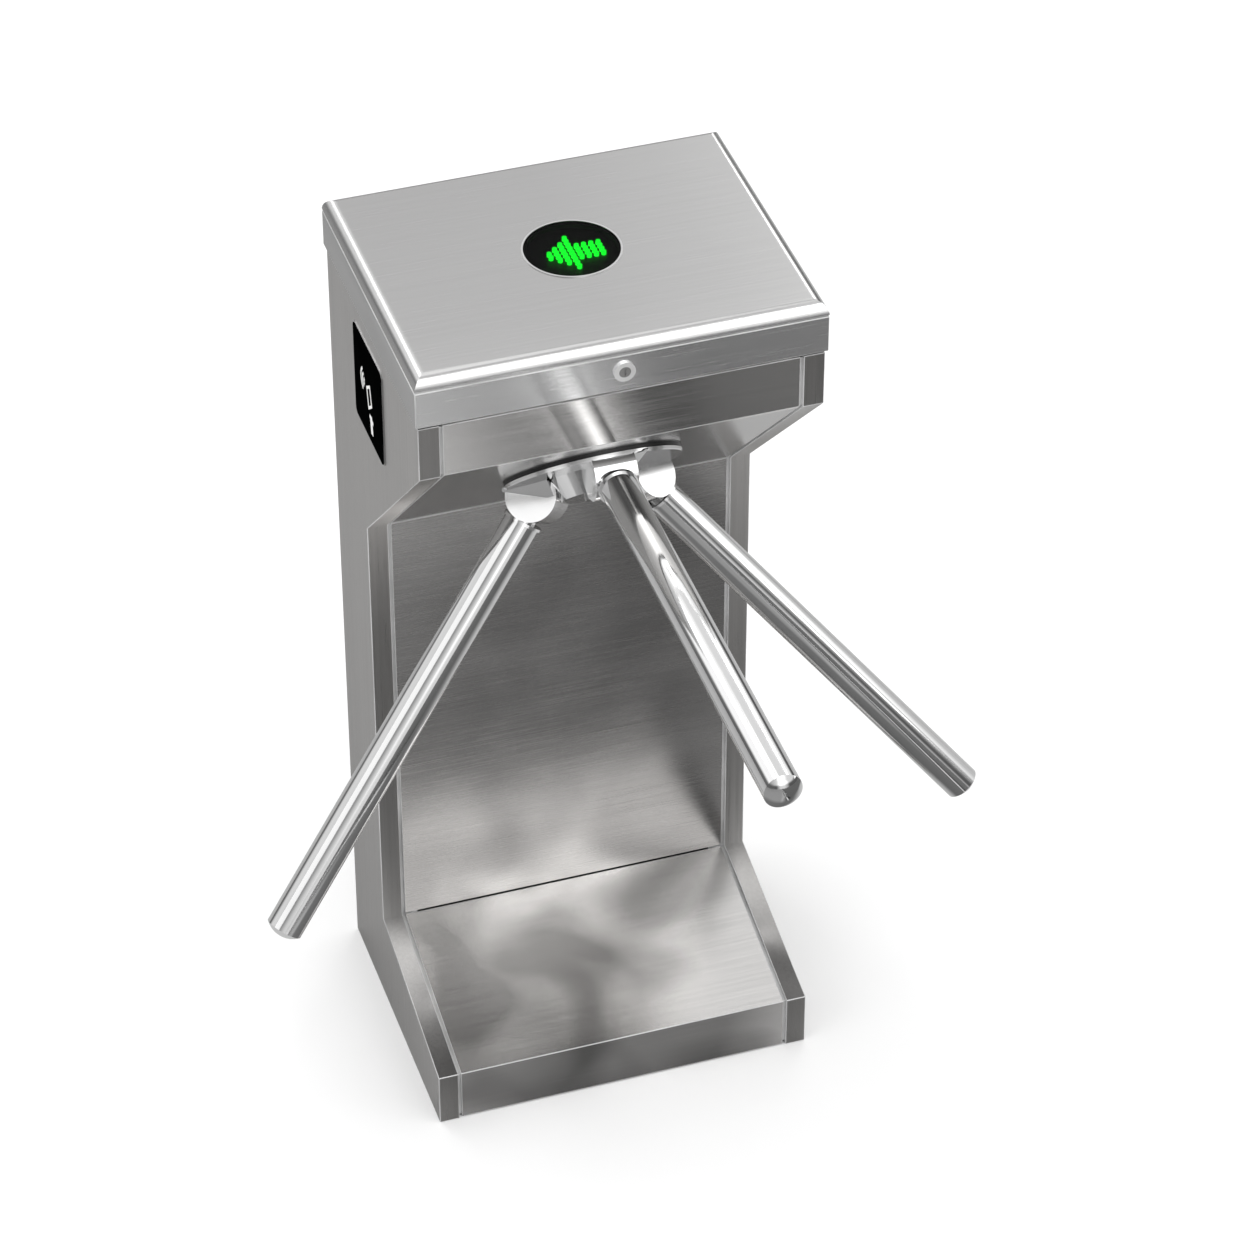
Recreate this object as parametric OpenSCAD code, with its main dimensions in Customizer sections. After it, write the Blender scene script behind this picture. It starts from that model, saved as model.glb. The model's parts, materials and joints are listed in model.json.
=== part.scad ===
// Tripod turnstile: a folded stainless cabinet whose slanted nose carries a hub with three arms.
// Frame: +X along the passage, -Y towards the walker's lane, +Z up, origin on the floor
// below the middle of the cabinet.

/* [Cabinet] */
// Width along the passage
cabinet_w = 415; // [380:5:480]
// Depth across the passage
cabinet_d = 328; // [310:2:350]
// Height from the floor to the top of the lid
cabinet_h = 980; // [960:5:1040]
// Height of the upright face below the lid, above the slanted nose
nose_face_h = 61; // [50:1:70]
// Depth of the column below the nose
column_d = 118; // [110:2:130]
// Height of the foot where it meets the column
foot_rear_h = 114; // [104:2:130]
// Height of the foot at its front edge
foot_front_h = 64; // [54:2:74]
// Thickness of the cabinet's sheet metal
sheet_t = 2; // [1.5:0.25:2.5]
// Thickness of the floor plate
base_t = 8; // [6:1:12]

/* [Side frames] */
// Width of the folded edge that shows on the front and back
band_w = 22; // [18:1:26]
// Width of the groove between a side frame and the panels
seam_w = 3; // [2:0.5:4]
// How far the panels lie behind the side frames' faces
panel_recess = 1; // [0.5:0.25:1.5]
// Width of the hidden flange that the panels are fixed to
fixing_flange_w = 18; // [16:1:22]

/* [Floor fixing] */
// Distance between the anchor holes along the passage
anchor_pitch_x = 300; // [280:5:310]
// Distance between the anchor holes across the passage
anchor_pitch_y = 230; // [200:5:250]
// Diameter of each anchor hole
anchor_hole_d = 14; // [12:1:18]
// Diameter of the cable entry in the floor plate
cable_entry_d = 50; // [40:2:60]

/* [Lid] */
// Height of the lid
lid_h = 57; // [50:1:64]
// Gap between the lid and the body
lid_gap = 3; // [2:0.25:3.5]
// How far the lid stands out beyond the body
lid_overhang = 2.5; // [2.5:0.25:4]
// Radius of the lid's rolled edges
lid_roll_r = 15; // [10:1:20]
// Diameter of the round display window
display_d = 97; // [90:1:110]
// Diameter of the lock's face
lock_face_d = 22; // [20:1:26]

/* [Hub] */
// How far the hub sits above the middle of the slanted face
hub_rise = 6; // [0:1:12]
// Radius of the fixed collar round the hub
collar_r = 91; // [88:1:96]
// Thickness of the fixed collar
collar_t = 2.5; // [2.5:0.5:6]
// Gap between the collar and the turning hub
hub_gap = 0.75; // [0.75:0.25:2]
// Radius of the hub's disc
hub_disc_r = 92; // [90:1:95]
// Thickness of the hub's disc
hub_disc_t = 4; // [4:0.5:8]
// Radius of the hub's centre drum where it leaves the disc
drum_r = 46; // [42:1:50]
// Radius of the drum's flat front
drum_front_r = 38; // [34:1:40]
// Height of the drum above the disc
drum_h = 23; // [20:1:26]
// Radius of the rounded knuckle that each arm leaves
knuckle_r = 27; // [25:1:29]
// Width of each knuckle
knuckle_w = 44; // [40:1:50]

/* [Arms] */
// Distance from the point where the arms' axes meet to an arm's tip
arm_reach = 612; // [540:4:640]
// Outer diameter of the arm tubes
arm_d = 38; // [36:1:40]
// Wall of the arm tubes
arm_wall = 2; // [1.5:0.25:3]
// Depth of the point where the arms' axes meet, below the disc's face
apex_depth = 54; // [48:1:58]
// Distance from that point to the middle of a knuckle
knuckle_reach = 90; // [86:1:94]

/* [Readers] */
// Length of the reader window along the cabinet's depth
reader_l = 102; // [90:1:110]
// Height of the reader window
reader_h = 112; // [100:1:120]
// Distance of the reader's middle behind the middle of the cabinet
reader_y = 14; // [6:1:20]
// Distance of the reader's middle below the top of the side frames
reader_drop = 78; // [74:1:86]

/* [Drive] */
// Bore of the ball bearings
bearing_bore_d = 30; // [28:1:32]
// Outer diameter of the ball bearings
bearing_d = 62; // [60:1:66]
// Width of each ball bearing
bearing_w = 16; // [14:1:18]
// Distance over the two bearings
bearing_span = 60; // [54:1:66]
// Gear module of the drive
gear_module = 2; // [1.75:0.25:2]
// Teeth on the hub's gear
gear_teeth = 60; // [60:1:60]
// Teeth on the motor's pinion
pinion_teeth = 15; // [15:1:15]

/* [Hidden] */

// Overrun of every cut
over = 1;
// Facets of a round that is cut or revolved
round_fn = 72;
// Tilt of the hub's axis and of the slanted nose
tilt_deg = 45;
// Radial clearance of a running fit
fit_gap = 0.05;
// Clearance between pieces that only pass each other
clear_gap = 0.4;

// Heights and depths of the cabinet's outline
body_top_z = cabinet_h - lid_h - lid_gap;
half_w = cabinet_w / 2;
half_d = cabinet_d / 2;
column_y = half_d - column_d;
nose_z = body_top_z - nose_face_h;
slant_end_z = nose_z - (column_y + half_d);
seat_depth = panel_recess + sheet_t;
flange_back = seat_depth + sheet_t;
panel_half_w = half_w - band_w - seam_w;
flange_edge_x = half_w - band_w - fixing_flange_w;
stud_x = (flange_edge_x + panel_half_w) / 2;

outline = [
    [-half_d, 0], [half_d, 0], [half_d, body_top_z], [-half_d, body_top_z],
    [-half_d, nose_z], [column_y, slant_end_z], [column_y, foot_rear_h], [-half_d, foot_front_h]
];
outline_count = len(outline);
// Which edge of the outline each panel covers
rear_edge = 1;
front_edge = 3;
slant_edge = 4;
column_edge = 5;
foot_slope_edge = 6;

// Weld studs and nuts that hold the panels
stud_r = 2;
stud_l = 9;
nut_r = 3.6;
nut_h = 3.2;
// Where the studs stand along each edge
rear_stud_shares = [0.08, 0.36, 0.64, 0.92];
column_stud_shares = [0.1, 0.5, 0.9];
front_stud_shares = [0.5];
slant_stud_shares = [0.93];
foot_stud_shares = [0.4];

// Joint lines between panels
joint_gap = 0.6;

// Top frame under the lid
access_side = 57.5;
access_front = 49;
access_rear = 19;
access_half_w = half_w - access_side;
access_front_y = access_front - half_d;
access_rear_y = half_d - access_rear;

// Seal strip on the side frames' top
seal_w = 12;
seal_inset = 6;
seal_gap = 0.3;

// Lid
lid_t = 2;
lid_groove_h = 1.4;
lid_groove_depth = 0.9;
lid_z = cabinet_h - lid_h;
lid_half_w = half_w + lid_overhang;
lid_half_d = half_d + lid_overhang;
lid_lip_w = 20;
lid_front_lip_w = 15;
lid_lip_t = 2;
lid_lip_rear_y = 112;

// Hinge inside the rear of the cabinet
hinge_inset = 26;
hinge_y = half_d - hinge_inset;
hinge_below = 26;
hinge_z = body_top_z - hinge_below;
hinge_x = 110;
hinge_arm_t = 6;
hinge_arm_w = 13;
hinge_eye_r = 9;
hinge_pin_r = 4;
hinge_pin_l = 24;
hinge_reach = 36;
hinge_foot_l = 40;
hinge_foot_w = 30;
hinge_foot_t = 4;
hinge_cheek_t = 5;
hinge_bracket_drop = 45;

// Lock in the lid's front skirt
lock_drop = 34.5;
lock_z = cabinet_h - lock_drop;
lock_face_t = 2.5;
lock_barrel_r = 9.4;
lock_barrel_l = 22;
lock_plug_r = 6;
lock_slot_w = 2;
lock_slot_l = 8;
lock_slot_depth = 1.6;
lock_nut_r = 13;
lock_nut_t = 4;
lock_cam_w = 14;
lock_cam_l = 20;
lock_cam_t = 2;
lock_stud_r = 3;
catch_t = 3;
catch_x = 12;
catch_w = 20;
catch_gap = 1;
catch_l = 18;
catch_lead = 1.4;

// Display
display_r = display_d / 2;
bezel_w = 1.7;
bezel_h = 0.8;
lens_t = 2.4;
lens_gap = 0.4;
led_r = 2.5;
led_pitch = 7.5;
led_pitch_y = 6.3;
led_h = 4;
// Dots in each column of the arrow, from its tip to its tail, and the column at the lid's middle
led_counts = [2, 4, 6, 9, 4, 4, 4, 4];
led_middle = 3;
display_board_t = 1.6;
display_cup_t = 4;
display_cup_depth = 22;
display_post_r = 3;
display_ear_w = 14;

// Readers
reader_z = body_top_z - reader_drop;
reader_corner_r = 7;
reader_window_t = 1.5;
reader_bezel_w = 1.4;
reader_bezel_t = 1.1;
reader_lip = 5;
reader_box_d = 16;
icon_t = 0.15;
icon_line = 3.2;
wave_radii = [4.5, 10, 15.5];
wave_deg = 110;
wave_shift = [-9.5, 6];
card_corners = [[-6, 5], [0, -20], [14, -9], [8, 15]];
finger_points = [[3, -25], [16, -28]];
finger_w = 4.4;
hand_points = [[8, -22.5], [11, -44]];
hand_w = 7.5;

// Hub's own frame: z runs outward along the hub's axis from the slanted outline
hub_y = (column_y - half_d) / 2 - hub_rise * sin(tilt_deg);
hub_z = (nose_z + slant_end_z) / 2 + hub_rise * cos(tilt_deg);
collar_back = -panel_recess;
collar_front = collar_back + collar_t;
disc_back = collar_front + hub_gap;
disc_front = disc_back + hub_disc_t;
drum_front = disc_front + drum_h;
apex_z = disc_front - apex_depth;
arm_angles = [90, 210, 330];
arm_tilt_deg = 45;
knuckle_radial = knuckle_reach * sin(arm_tilt_deg);
knuckle_z = apex_z + knuckle_reach * cos(arm_tilt_deg);
web_slope_deg = 21;
web_share = 0.96;
web_draft = 0.36;
web_foot_r = 86;
disc_chamfer = 1;
hub_cap_r = 15;
hub_cap_h = 4;
hub_bolt_r = 7;
hub_bolt_head_r = 10.5;
hub_bolt_head_h = 9;
hub_bolt_l = 60;
hub_pocket_r = 13;

// Arms along their own axes, measured from the point where the axes meet
arm_r = arm_d / 2;
shank_r = 13;
collar_w = 2;
spigot_collar_t = 3;
spigot_start = knuckle_reach + knuckle_r;
tube_start = spigot_start + spigot_collar_t;
spigot_l = 34;
shank_depth = 26;
cap_dome_h = 8;
cap_plug_l = 18;
tube_end = arm_reach - cap_dome_h;
arm_screw_r = 5;
arm_screw_head_r = 8;
arm_screw_head_h = 8;
arm_screw_bite = 18;
arm_screw_seat = 88;
arm_screw_l = spigot_start - shank_depth - arm_screw_seat + arm_screw_bite;
arm_pocket_r = 9;

// Spindle, bearings and housing
flange_r = 40;
flange_t = 8;
flange_rim = 4;
collar_bore_r = flange_r + flange_rim;
mount_gap = 2;
rail_front = -flange_back;
rail_t = 5;
rail_w = 40;
rail_leg = 30;
rail_half_l = 105;
rail_bolt_r = 4;
rail_bolt_head_r = 7;
rail_bolt_head_h = 5.5;
rail_back = rail_front - rail_t;
plate_t = 6;
plate_back = rail_back - plate_t;
plate_side_gap = 10;
plate_half_w = half_w - sheet_t - plate_side_gap;
plate_half_l = 108;
plate_hole_r = 45;
housing_flange_r = 60;
housing_flange_t = 10;
housing_r = 42;
housing_rib_r = 27;
housing_back = plate_back - bearing_span;
bearing_r = bearing_d / 2;
shaft_r = bearing_bore_d / 2;
race_t = 4;
race_gap = 1;
shoulder_r = 19;
ball_count = 9;
ball_r = (bearing_r - shaft_r - 2 * race_t) / 2 - race_gap / 2;
shield_t = 1;
tail_r = 12.5;
deck_t = 6;
deck_back = housing_back - deck_t;
deck_side_gap = 39.5;
deck_x_min = deck_side_gap - half_w;
deck_x_max = 116;
deck_y_min = -92;
deck_y_max = 70;
standoff_r = 8;
standoff_inset = 12;
standoff_places = [
    for (x = [deck_x_min + standoff_inset, deck_x_max - standoff_inset])
        for (y = [deck_y_min + standoff_inset, deck_y_max - standoff_inset]) [x, y]
];
index_gap = 4;
index_t = 8;
index_front = deck_back - index_gap;
index_back = index_front - index_t;
index_notches = 12;
notch_w = 18;
notch_depth = 10;
gear_t = 12;
gear_back = index_back - gear_t;
encoder_gap = 10;
encoder_t = 1.5;
encoder_front = gear_back - encoder_gap;
encoder_back = encoder_front - encoder_t;
encoder_r = 45;
encoder_slots = 24;
encoder_slot_w = 3;
encoder_slot_l = 5;
encoder_slot_r = 40;
spindle_nut_r = 20;
spindle_nut_t = 10;
spindle_tip = 3;
spindle_end = encoder_back - spindle_nut_t - spindle_tip;
key_w = 8;
key_h = 7;

// Gears
gear_pitch_r = gear_module * gear_teeth / 2;
pinion_pitch_r = gear_module * pinion_teeth / 2;
gear_outer_r = gear_pitch_r + gear_module;
index_rim = 2;
index_r = gear_outer_r + index_rim;
pinion_x = gear_pitch_r + pinion_pitch_r;
tooth_root_share = 1.25;
// Half widths of a tooth, as shares of its pitch angle
tooth_root_half_share = 0.33;
tooth_tip_half_share = 0.12;
pinion_t = 10;
pinion_clear = 1;
motor_w = 56;
motor_l = 48;
motor_shaft_r = 4;
motor_pilot_r = 19;
motor_corner_r = 5;

// Locking pawl and solenoid
pawl_offset = 21.5;
pawl_x = -(index_r + pawl_offset);
pawl_pivot_y = -55;
pawl_attach_y = 20;
pawl_spring_y = 45;
pawl_w = 14;
pawl_t = 6;
pawl_pin_r = 4;
pawl_boss_r = 8;
tooth_w = 10;
tooth_gap = 2.5;
// How far the tooth stands above the notch's middle at rest, so that it swings into the middle
tooth_lead = 2.6;
pawl_z = (index_front + index_back) / 2;
pawl_post_tail = 3;
plunger_r = 5;
plunger_pin_r = 2;
plunger_slot_l = 9;
solenoid_w = 30;
solenoid_inset = 8;
solenoid_gap = 24.5;
solenoid_back_x = deck_x_min + solenoid_inset;
solenoid_front_x = pawl_x - solenoid_gap;
solenoid_l = solenoid_front_x - solenoid_back_x;
plunger_depth_share = 0.65;
plunger_l = pawl_x + plunger_r - solenoid_front_x + plunger_depth_share * solenoid_l;
spring_r = 4;
spring_wire_r = 1;
spring_post_inset = 18;
spring_post_x = solenoid_front_x - spring_post_inset;
spring_post_r = 3;

// Position sensor
sensor_w = 12;
sensor_reach_y = -36;
sensor_slot_gap = 2.2;
sensor_wall = 3;
sensor_board_y = -66;
sensor_board_t = 2;
sensor_board_w = 40;
bracket_t = 3;
bracket_foot_l = 18;

// Equipment on the plate behind the column
equipment_t = 2;
equipment_y = column_y + flange_back;
column_l = slant_end_z - foot_rear_h;
equipment_low_share = 0.15;
equipment_high_share = 0.95;
equipment_z = foot_rear_h + equipment_low_share * column_l;
equipment_h = (equipment_high_share - equipment_low_share) * column_l;
equipment_half_w = flange_edge_x + fixing_flange_w - seam_w;
supply_w = 98;
supply_l = 159;
supply_d = 38;
supply_z = (equipment_h - supply_l) / 2;
supply_x = -75;
board_w = 150;
board_h = 120;
board_t = 1.6;
board_z_share = 0.42;
board_z = board_z_share * equipment_h;
board_x = 75;
board_standoff = 8;
board_standoff_r = 3;
terminal_w = 90;
terminal_h = 45;
terminal_d = 32;
terminal_x = 75;
terminal_z_share = 0.2;
terminal_z = terminal_z_share * equipment_h;
rail_profile_w = 120;
rail_profile_h = 35;
rail_profile_t = 6;
terminal_count = 10;

// Outward normal of the edge from point a to point b
function edge_normal(a, b) = [b[1] - a[1], a[0] - b[0]] / norm(b - a);
// Corner q between edges pq and qr, moved inward by d
function inset_corner(p, q, r, d) =
    let (n1 = edge_normal(p, q), n2 = edge_normal(q, r)) q - d * (n1 + n2) / (1 + n1 * n2);
// Outline moved inward by d on every edge
function inset(pts, d) = [
    for (i = [0 : len(pts) - 1])
        inset_corner(pts[(i + len(pts) - 1) % len(pts)], pts[i], pts[(i + 1) % len(pts)], d)
];
function edge_point(i, share) =
    outline[i] + (outline[(i + 1) % outline_count] - outline[i]) * share;
function edge_inward(i) = -edge_normal(outline[i], outline[(i + 1) % outline_count]);

// Extrudes a side view of the cabinet along X from x0
module side_slab(x0, w) {
    translate([x0, 0, 0]) rotate([90, 0, 90]) linear_extrude(w) children();
}

// The cabinet's outline between two depths below its surface
module outline_ring(d1, d2) {
    difference() {
        polygon(inset(outline, d1));
        polygon(inset(outline, d2));
    }
}

// Children at a point of an edge, with z pointing into the cabinet
module at_edge(i, share, x, depth) {
    p = edge_point(i, share) + edge_inward(i) * depth;
    n = edge_inward(i);
    translate([x, p[0], p[1]]) rotate([atan2(-n[0], n[1]), 0, 0]) children();
}

// Children at each stud place of an edge, on both sides
module at_studs(i, shares, depth) {
    for (share = shares, side = [-1, 1]) at_edge(i, share, side * stud_x, depth) children();
}

// A rounded rectangle centred on the origin
module rounded_plate(w, h, r) {
    union() {
        square([w - 2 * r, h], center = true);
        square([w, h - 2 * r], center = true);
        for (sx = [-1, 1], sy = [-1, 1])
            translate([sx * (w / 2 - r), sy * (h / 2 - r)]) circle(r = r, $fn = round_fn);
    }
}

// A tube between two heights
module tube(r_out, r_in, z0, z1) {
    translate([0, 0, z0]) difference() {
        cylinder(r = r_out, h = z1 - z0, $fn = round_fn);
        translate([0, 0, -over]) cylinder(r = r_in, h = z1 - z0 + 2 * over, $fn = round_fn);
    }
}

// A round bar between two heights
module bar(r, z0, z1) {
    translate([0, 0, z0]) cylinder(r = r, h = z1 - z0, $fn = round_fn);
}

// A box between two corners
module block(low, high) {
    translate(low) cube(high - low);
}

// Children in the hub's frame
module at_hub() {
    translate([0, hub_y, hub_z]) rotate([90 + tilt_deg, 0, 0]) children();
}

// Children along each arm, with z running out along the arm from the meeting point
module along_arms() {
    for (a = arm_angles)
        rotate([0, 0, a]) translate([0, 0, apex_z]) rotate([0, arm_tilt_deg, 0]) children();
}

module base_plate() {
    color("dimgray") difference() {
        block([sheet_t - half_w, flange_back - half_d, 0], [half_w - sheet_t, half_d - flange_back, base_t]);
        for (sx = [-1, 1], sy = [-1, 1])
            translate([sx * anchor_pitch_x / 2, sy * anchor_pitch_y / 2, 0])
                bar(anchor_hole_d / 2, -over, base_t + over);
        translate([0, (column_y + half_d) / 2, 0]) bar(cable_entry_d / 2, -over, base_t + over);
    }
}

module reader_opening() {
    translate([half_w - sheet_t - over, reader_y, reader_z]) rotate([90, 0, 90])
        linear_extrude(sheet_t + 2 * over)
            rounded_plate(reader_l - 2 * reader_lip, reader_h - 2 * reader_lip, reader_corner_r);
}

// One side frame: a side plate, its folded band, a step and the flange that carries the panels
module side_frame() {
    difference() {
        union() {
            side_slab(half_w - sheet_t, sheet_t) polygon(outline);
            side_slab(half_w - band_w, band_w) outline_ring(0, sheet_t);
            side_slab(half_w - band_w, sheet_t) outline_ring(0, flange_back);
            side_slab(flange_edge_x, fixing_flange_w + sheet_t) outline_ring(seat_depth, flange_back);
        }
        block(
            [flange_edge_x - over, flange_back - half_d, -over],
            [half_w - sheet_t, half_d - flange_back, base_t]
        );
        reader_opening();
        frame_stud_holes(rear_edge, rear_stud_shares);
        frame_stud_holes(front_edge, front_stud_shares);
        frame_stud_holes(slant_edge, slant_stud_shares);
        frame_stud_holes(column_edge, column_stud_shares);
        frame_stud_holes(foot_slope_edge, foot_stud_shares);
    }
}

module frame_stud_holes(i, shares) {
    for (share = shares) at_edge(i, share, stud_x, seat_depth - over)
        bar(stud_r + clear_gap, 0, sheet_t + 2 * over);
}

module right_side_frame() {
    color("silver") side_frame();
}

module left_side_frame() {
    color("silver") mirror([1, 0, 0]) side_frame();
}

// A folded panel: the outline's skin inside the children's windows of the side view
module panel_skin() {
    side_slab(-panel_half_w, 2 * panel_half_w) intersection() {
        outline_ring(panel_recess, seat_depth);
        union() children();
    }
}

// A rectangle between two corners
module window(low, high) {
    translate(low) square(high - low);
}

module panel_studs(i, shares) {
    at_studs(i, shares, seat_depth) bar(stud_r, -sheet_t / 2, stud_l);
}

module nose_panel() {
    color("gray") difference() {
        union() {
            panel_skin() {
                window([-half_d, slant_end_z + joint_gap], [column_y + flange_back, nose_z]);
                window([-half_d, nose_z - over], [seat_depth - half_d, body_top_z]);
            }
            panel_studs(front_edge, front_stud_shares);
            panel_studs(slant_edge, slant_stud_shares);
        }
        at_hub() bar(collar_bore_r + mount_gap, -seat_depth - over, over);
    }
}

module column_panel() {
    color("gray") union() {
        panel_skin() window(
            [column_y, foot_rear_h + joint_gap],
            [column_y + flange_back, slant_end_z]
        );
        panel_studs(column_edge, column_stud_shares);
    }
}

module foot_cover() {
    color("silver") union() {
        panel_skin() {
            window([-half_d, 0], [seat_depth - half_d, foot_front_h]);
            window([-half_d, base_t], [column_y + panel_recess, foot_rear_h + joint_gap / 2]);
        }
        panel_studs(foot_slope_edge, foot_stud_shares);
    }
}

module rear_panel() {
    color("gray") union() {
        panel_skin() window([half_d - seat_depth, 0], [half_d, body_top_z]);
        panel_studs(rear_edge, rear_stud_shares);
    }
}

module panel_nut() {
    translate([0, 0, flange_back - seat_depth]) difference() {
        cylinder(r = nut_r, h = nut_h, $fn = 6);
        translate([0, 0, -over]) cylinder(r = stud_r + fit_gap, h = nut_h + 2 * over, $fn = round_fn);
    }
}

module panel_nuts() {
    color("lightgray") union() {
        at_studs(rear_edge, rear_stud_shares, seat_depth) panel_nut();
        at_studs(front_edge, front_stud_shares, seat_depth) panel_nut();
        at_studs(slant_edge, slant_stud_shares, seat_depth) panel_nut();
        at_studs(column_edge, column_stud_shares, seat_depth) panel_nut();
        at_studs(foot_slope_edge, foot_stud_shares, seat_depth) panel_nut();
    }
}

module top_frame() {
    color("lightgray") difference() {
        block(
            [-panel_half_w, seat_depth - half_d, body_top_z - seat_depth],
            [panel_half_w, half_d - seat_depth, body_top_z]
        );
        block(
            [-access_half_w, access_front_y, body_top_z - seat_depth - over],
            [access_half_w, access_rear_y, body_top_z + over]
        );
    }
}

module lid_seal() {
    seal_h = lid_z - body_top_z - seal_gap;
    color("black") difference() {
        block(
            [seal_inset - half_w, seal_inset - half_d, body_top_z],
            [half_w - seal_inset, half_d - seal_inset, body_top_z + seal_h]
        );
        block(
            [seal_inset + seal_w - half_w, seal_inset + seal_w - half_d, body_top_z - over],
            [half_w - seal_inset - seal_w, half_d - seal_inset - seal_w, body_top_z + seal_h + over]
        );
    }
}

// A rectangle whose two upper corners are rolled
module rolled_section(w, h, r) {
    union() {
        translate([-w / 2, 0]) square([w, h - r]);
        translate([r - w / 2, 0]) square([w - 2 * r, h]);
        for (s = [-1, 1]) translate([s * (w / 2 - r), h - r]) circle(r = r, $fn = round_fn);
    }
}

// The thin groove that sets off the lid's rolled edge from its skirt
module lid_groove() {
    inner_w = lid_half_w - lid_groove_depth;
    inner_d = lid_half_d - lid_groove_depth;
    translate([0, 0, cabinet_h - lid_roll_r - lid_groove_h]) difference() {
        block([-lid_half_w - over, -lid_half_d - over, 0], [lid_half_w + over, lid_half_d + over, lid_groove_h]);
        block([-inner_w, -inner_d, -over], [inner_w, inner_d, lid_groove_h + over]);
    }
}

// A closed block with the lid's rolled form
module lid_form(hw, hd, h, r) {
    intersection() {
        translate([0, hd, 0]) rotate([90, 0, 0]) linear_extrude(2 * hd) rolled_section(2 * hw, h, r);
        translate([-hw, 0, 0]) rotate([90, 0, 90]) linear_extrude(2 * hw) rolled_section(2 * hd, h, r);
    }
}

module lid_shell() {
    inner_w = lid_half_w - lid_t;
    inner_d = lid_half_d - lid_t;
    color("silver") difference() {
        union() {
            translate([0, 0, lid_z]) difference() {
                lid_form(lid_half_w, lid_half_d, lid_h, lid_roll_r);
                translate([0, 0, -over]) lid_form(inner_w, inner_d, lid_h - lid_t + over, lid_roll_r - lid_t);
            }
            for (s = [-1, 1]) block(
                [s > 0 ? inner_w - lid_lip_w : -inner_w, -inner_d, lid_z],
                [s > 0 ? inner_w : lid_lip_w - inner_w, lid_lip_rear_y, lid_z + lid_lip_t]
            );
            block([-inner_w, -inner_d, lid_z], [inner_w, lid_front_lip_w - inner_d, lid_z + lid_lip_t]);
        }
        translate([0, 0, cabinet_h - lid_t - over]) bar(display_r, 0, lid_t + 2 * over);
        at_lock() bar(lock_barrel_r + fit_gap, -over, lid_t + over);
        lid_groove();
    }
}

// Children at the lock, with z running into the cabinet from the lid's front face
module at_lock() {
    translate([0, -lid_half_d, lock_z]) rotate([-90, 0, 0]) children();
}

module lock_body() {
    color("white") at_lock() difference() {
        union() {
            bar(lock_face_d / 2, -lock_face_t, 0);
            bar(lock_barrel_r, -lock_face_t / 2, lock_barrel_l);
        }
        bar(lock_plug_r + fit_gap, -lock_face_t - over, lock_barrel_l + over);
    }
}

module lock_nut() {
    color("gray") at_lock() difference() {
        translate([0, 0, lid_t]) cylinder(r = lock_nut_r, h = lock_nut_t, $fn = 6);
        bar(lock_barrel_r + fit_gap, 0, lid_t + lock_nut_t + over);
    }
}

module lock_plug() {
    color("gainsboro") at_lock() difference() {
        union() {
            bar(lock_plug_r, -lock_face_t, lock_barrel_l + clear_gap);
            bar(lock_stud_r, lock_barrel_l, lock_barrel_l + clear_gap + lock_cam_t + catch_t);
        }
        translate([-lock_slot_w / 2, -lock_slot_l / 2, -lock_face_t - over])
            cube([lock_slot_w, lock_slot_l, lock_slot_depth + over]);
    }
}

module lock_cam() {
    color("darkgray") at_lock() translate([0, 0, lock_barrel_l + clear_gap]) difference() {
        union() {
            bar(lock_cam_w / 2, 0, lock_cam_t);
            block([-lock_cam_w / 2, 0, 0], [lock_cam_w / 2, lock_cam_l, lock_cam_t]);
        }
        bar(lock_stud_r, -over, lock_cam_t + over);
    }
}

module lock_catch() {
    cam_y = lock_barrel_l + clear_gap - lid_half_d;
    tongue_z = lock_z + lock_cam_w / 2 + catch_gap;
    y0 = cam_y - catch_lead;
    color("darkgray") union() {
        block([catch_x, y0, tongue_z], [catch_x + catch_w, y0 + catch_l, tongue_z + catch_t]);
        block(
            [catch_x + catch_w, y0, body_top_z],
            [catch_x + catch_w + catch_t, y0 + catch_l, tongue_z + catch_t]
        );
        block([catch_x + catch_w, y0, body_top_z], [catch_x + 2 * catch_w, y0 + catch_l, body_top_z + catch_t]);
    }
}

module at_hinges() {
    for (s = [-1, 1]) translate([s * hinge_x, hinge_y, hinge_z]) rotate([0, 90, 0]) children();
}

module hinge_brackets() {
    reach = half_d - flange_back + sheet_t - hinge_y;
    color("dimgray") for (s = [-1, 1]) translate([s * hinge_x, hinge_y, hinge_z]) difference() {
        union() {
            for (c = [-1, 1]) {
                x0 = c > 0 ? hinge_arm_t / 2 + clear_gap : -hinge_arm_t / 2 - clear_gap - hinge_cheek_t;
                block([x0, 0, -hinge_bracket_drop], [x0 + hinge_cheek_t, reach, hinge_eye_r]);
                translate([x0, 0, 0]) rotate([0, 90, 0]) bar(hinge_eye_r, 0, hinge_cheek_t);
            }
            block(
                [-hinge_arm_t / 2 - clear_gap - hinge_cheek_t, reach - hinge_cheek_t, -hinge_bracket_drop],
                [hinge_arm_t / 2 + clear_gap + hinge_cheek_t, reach, hinge_eye_r]
            );
        }
        rotate([0, 90, 0]) bar(hinge_pin_r + fit_gap, -hinge_pin_l, hinge_pin_l);
    }
}

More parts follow.
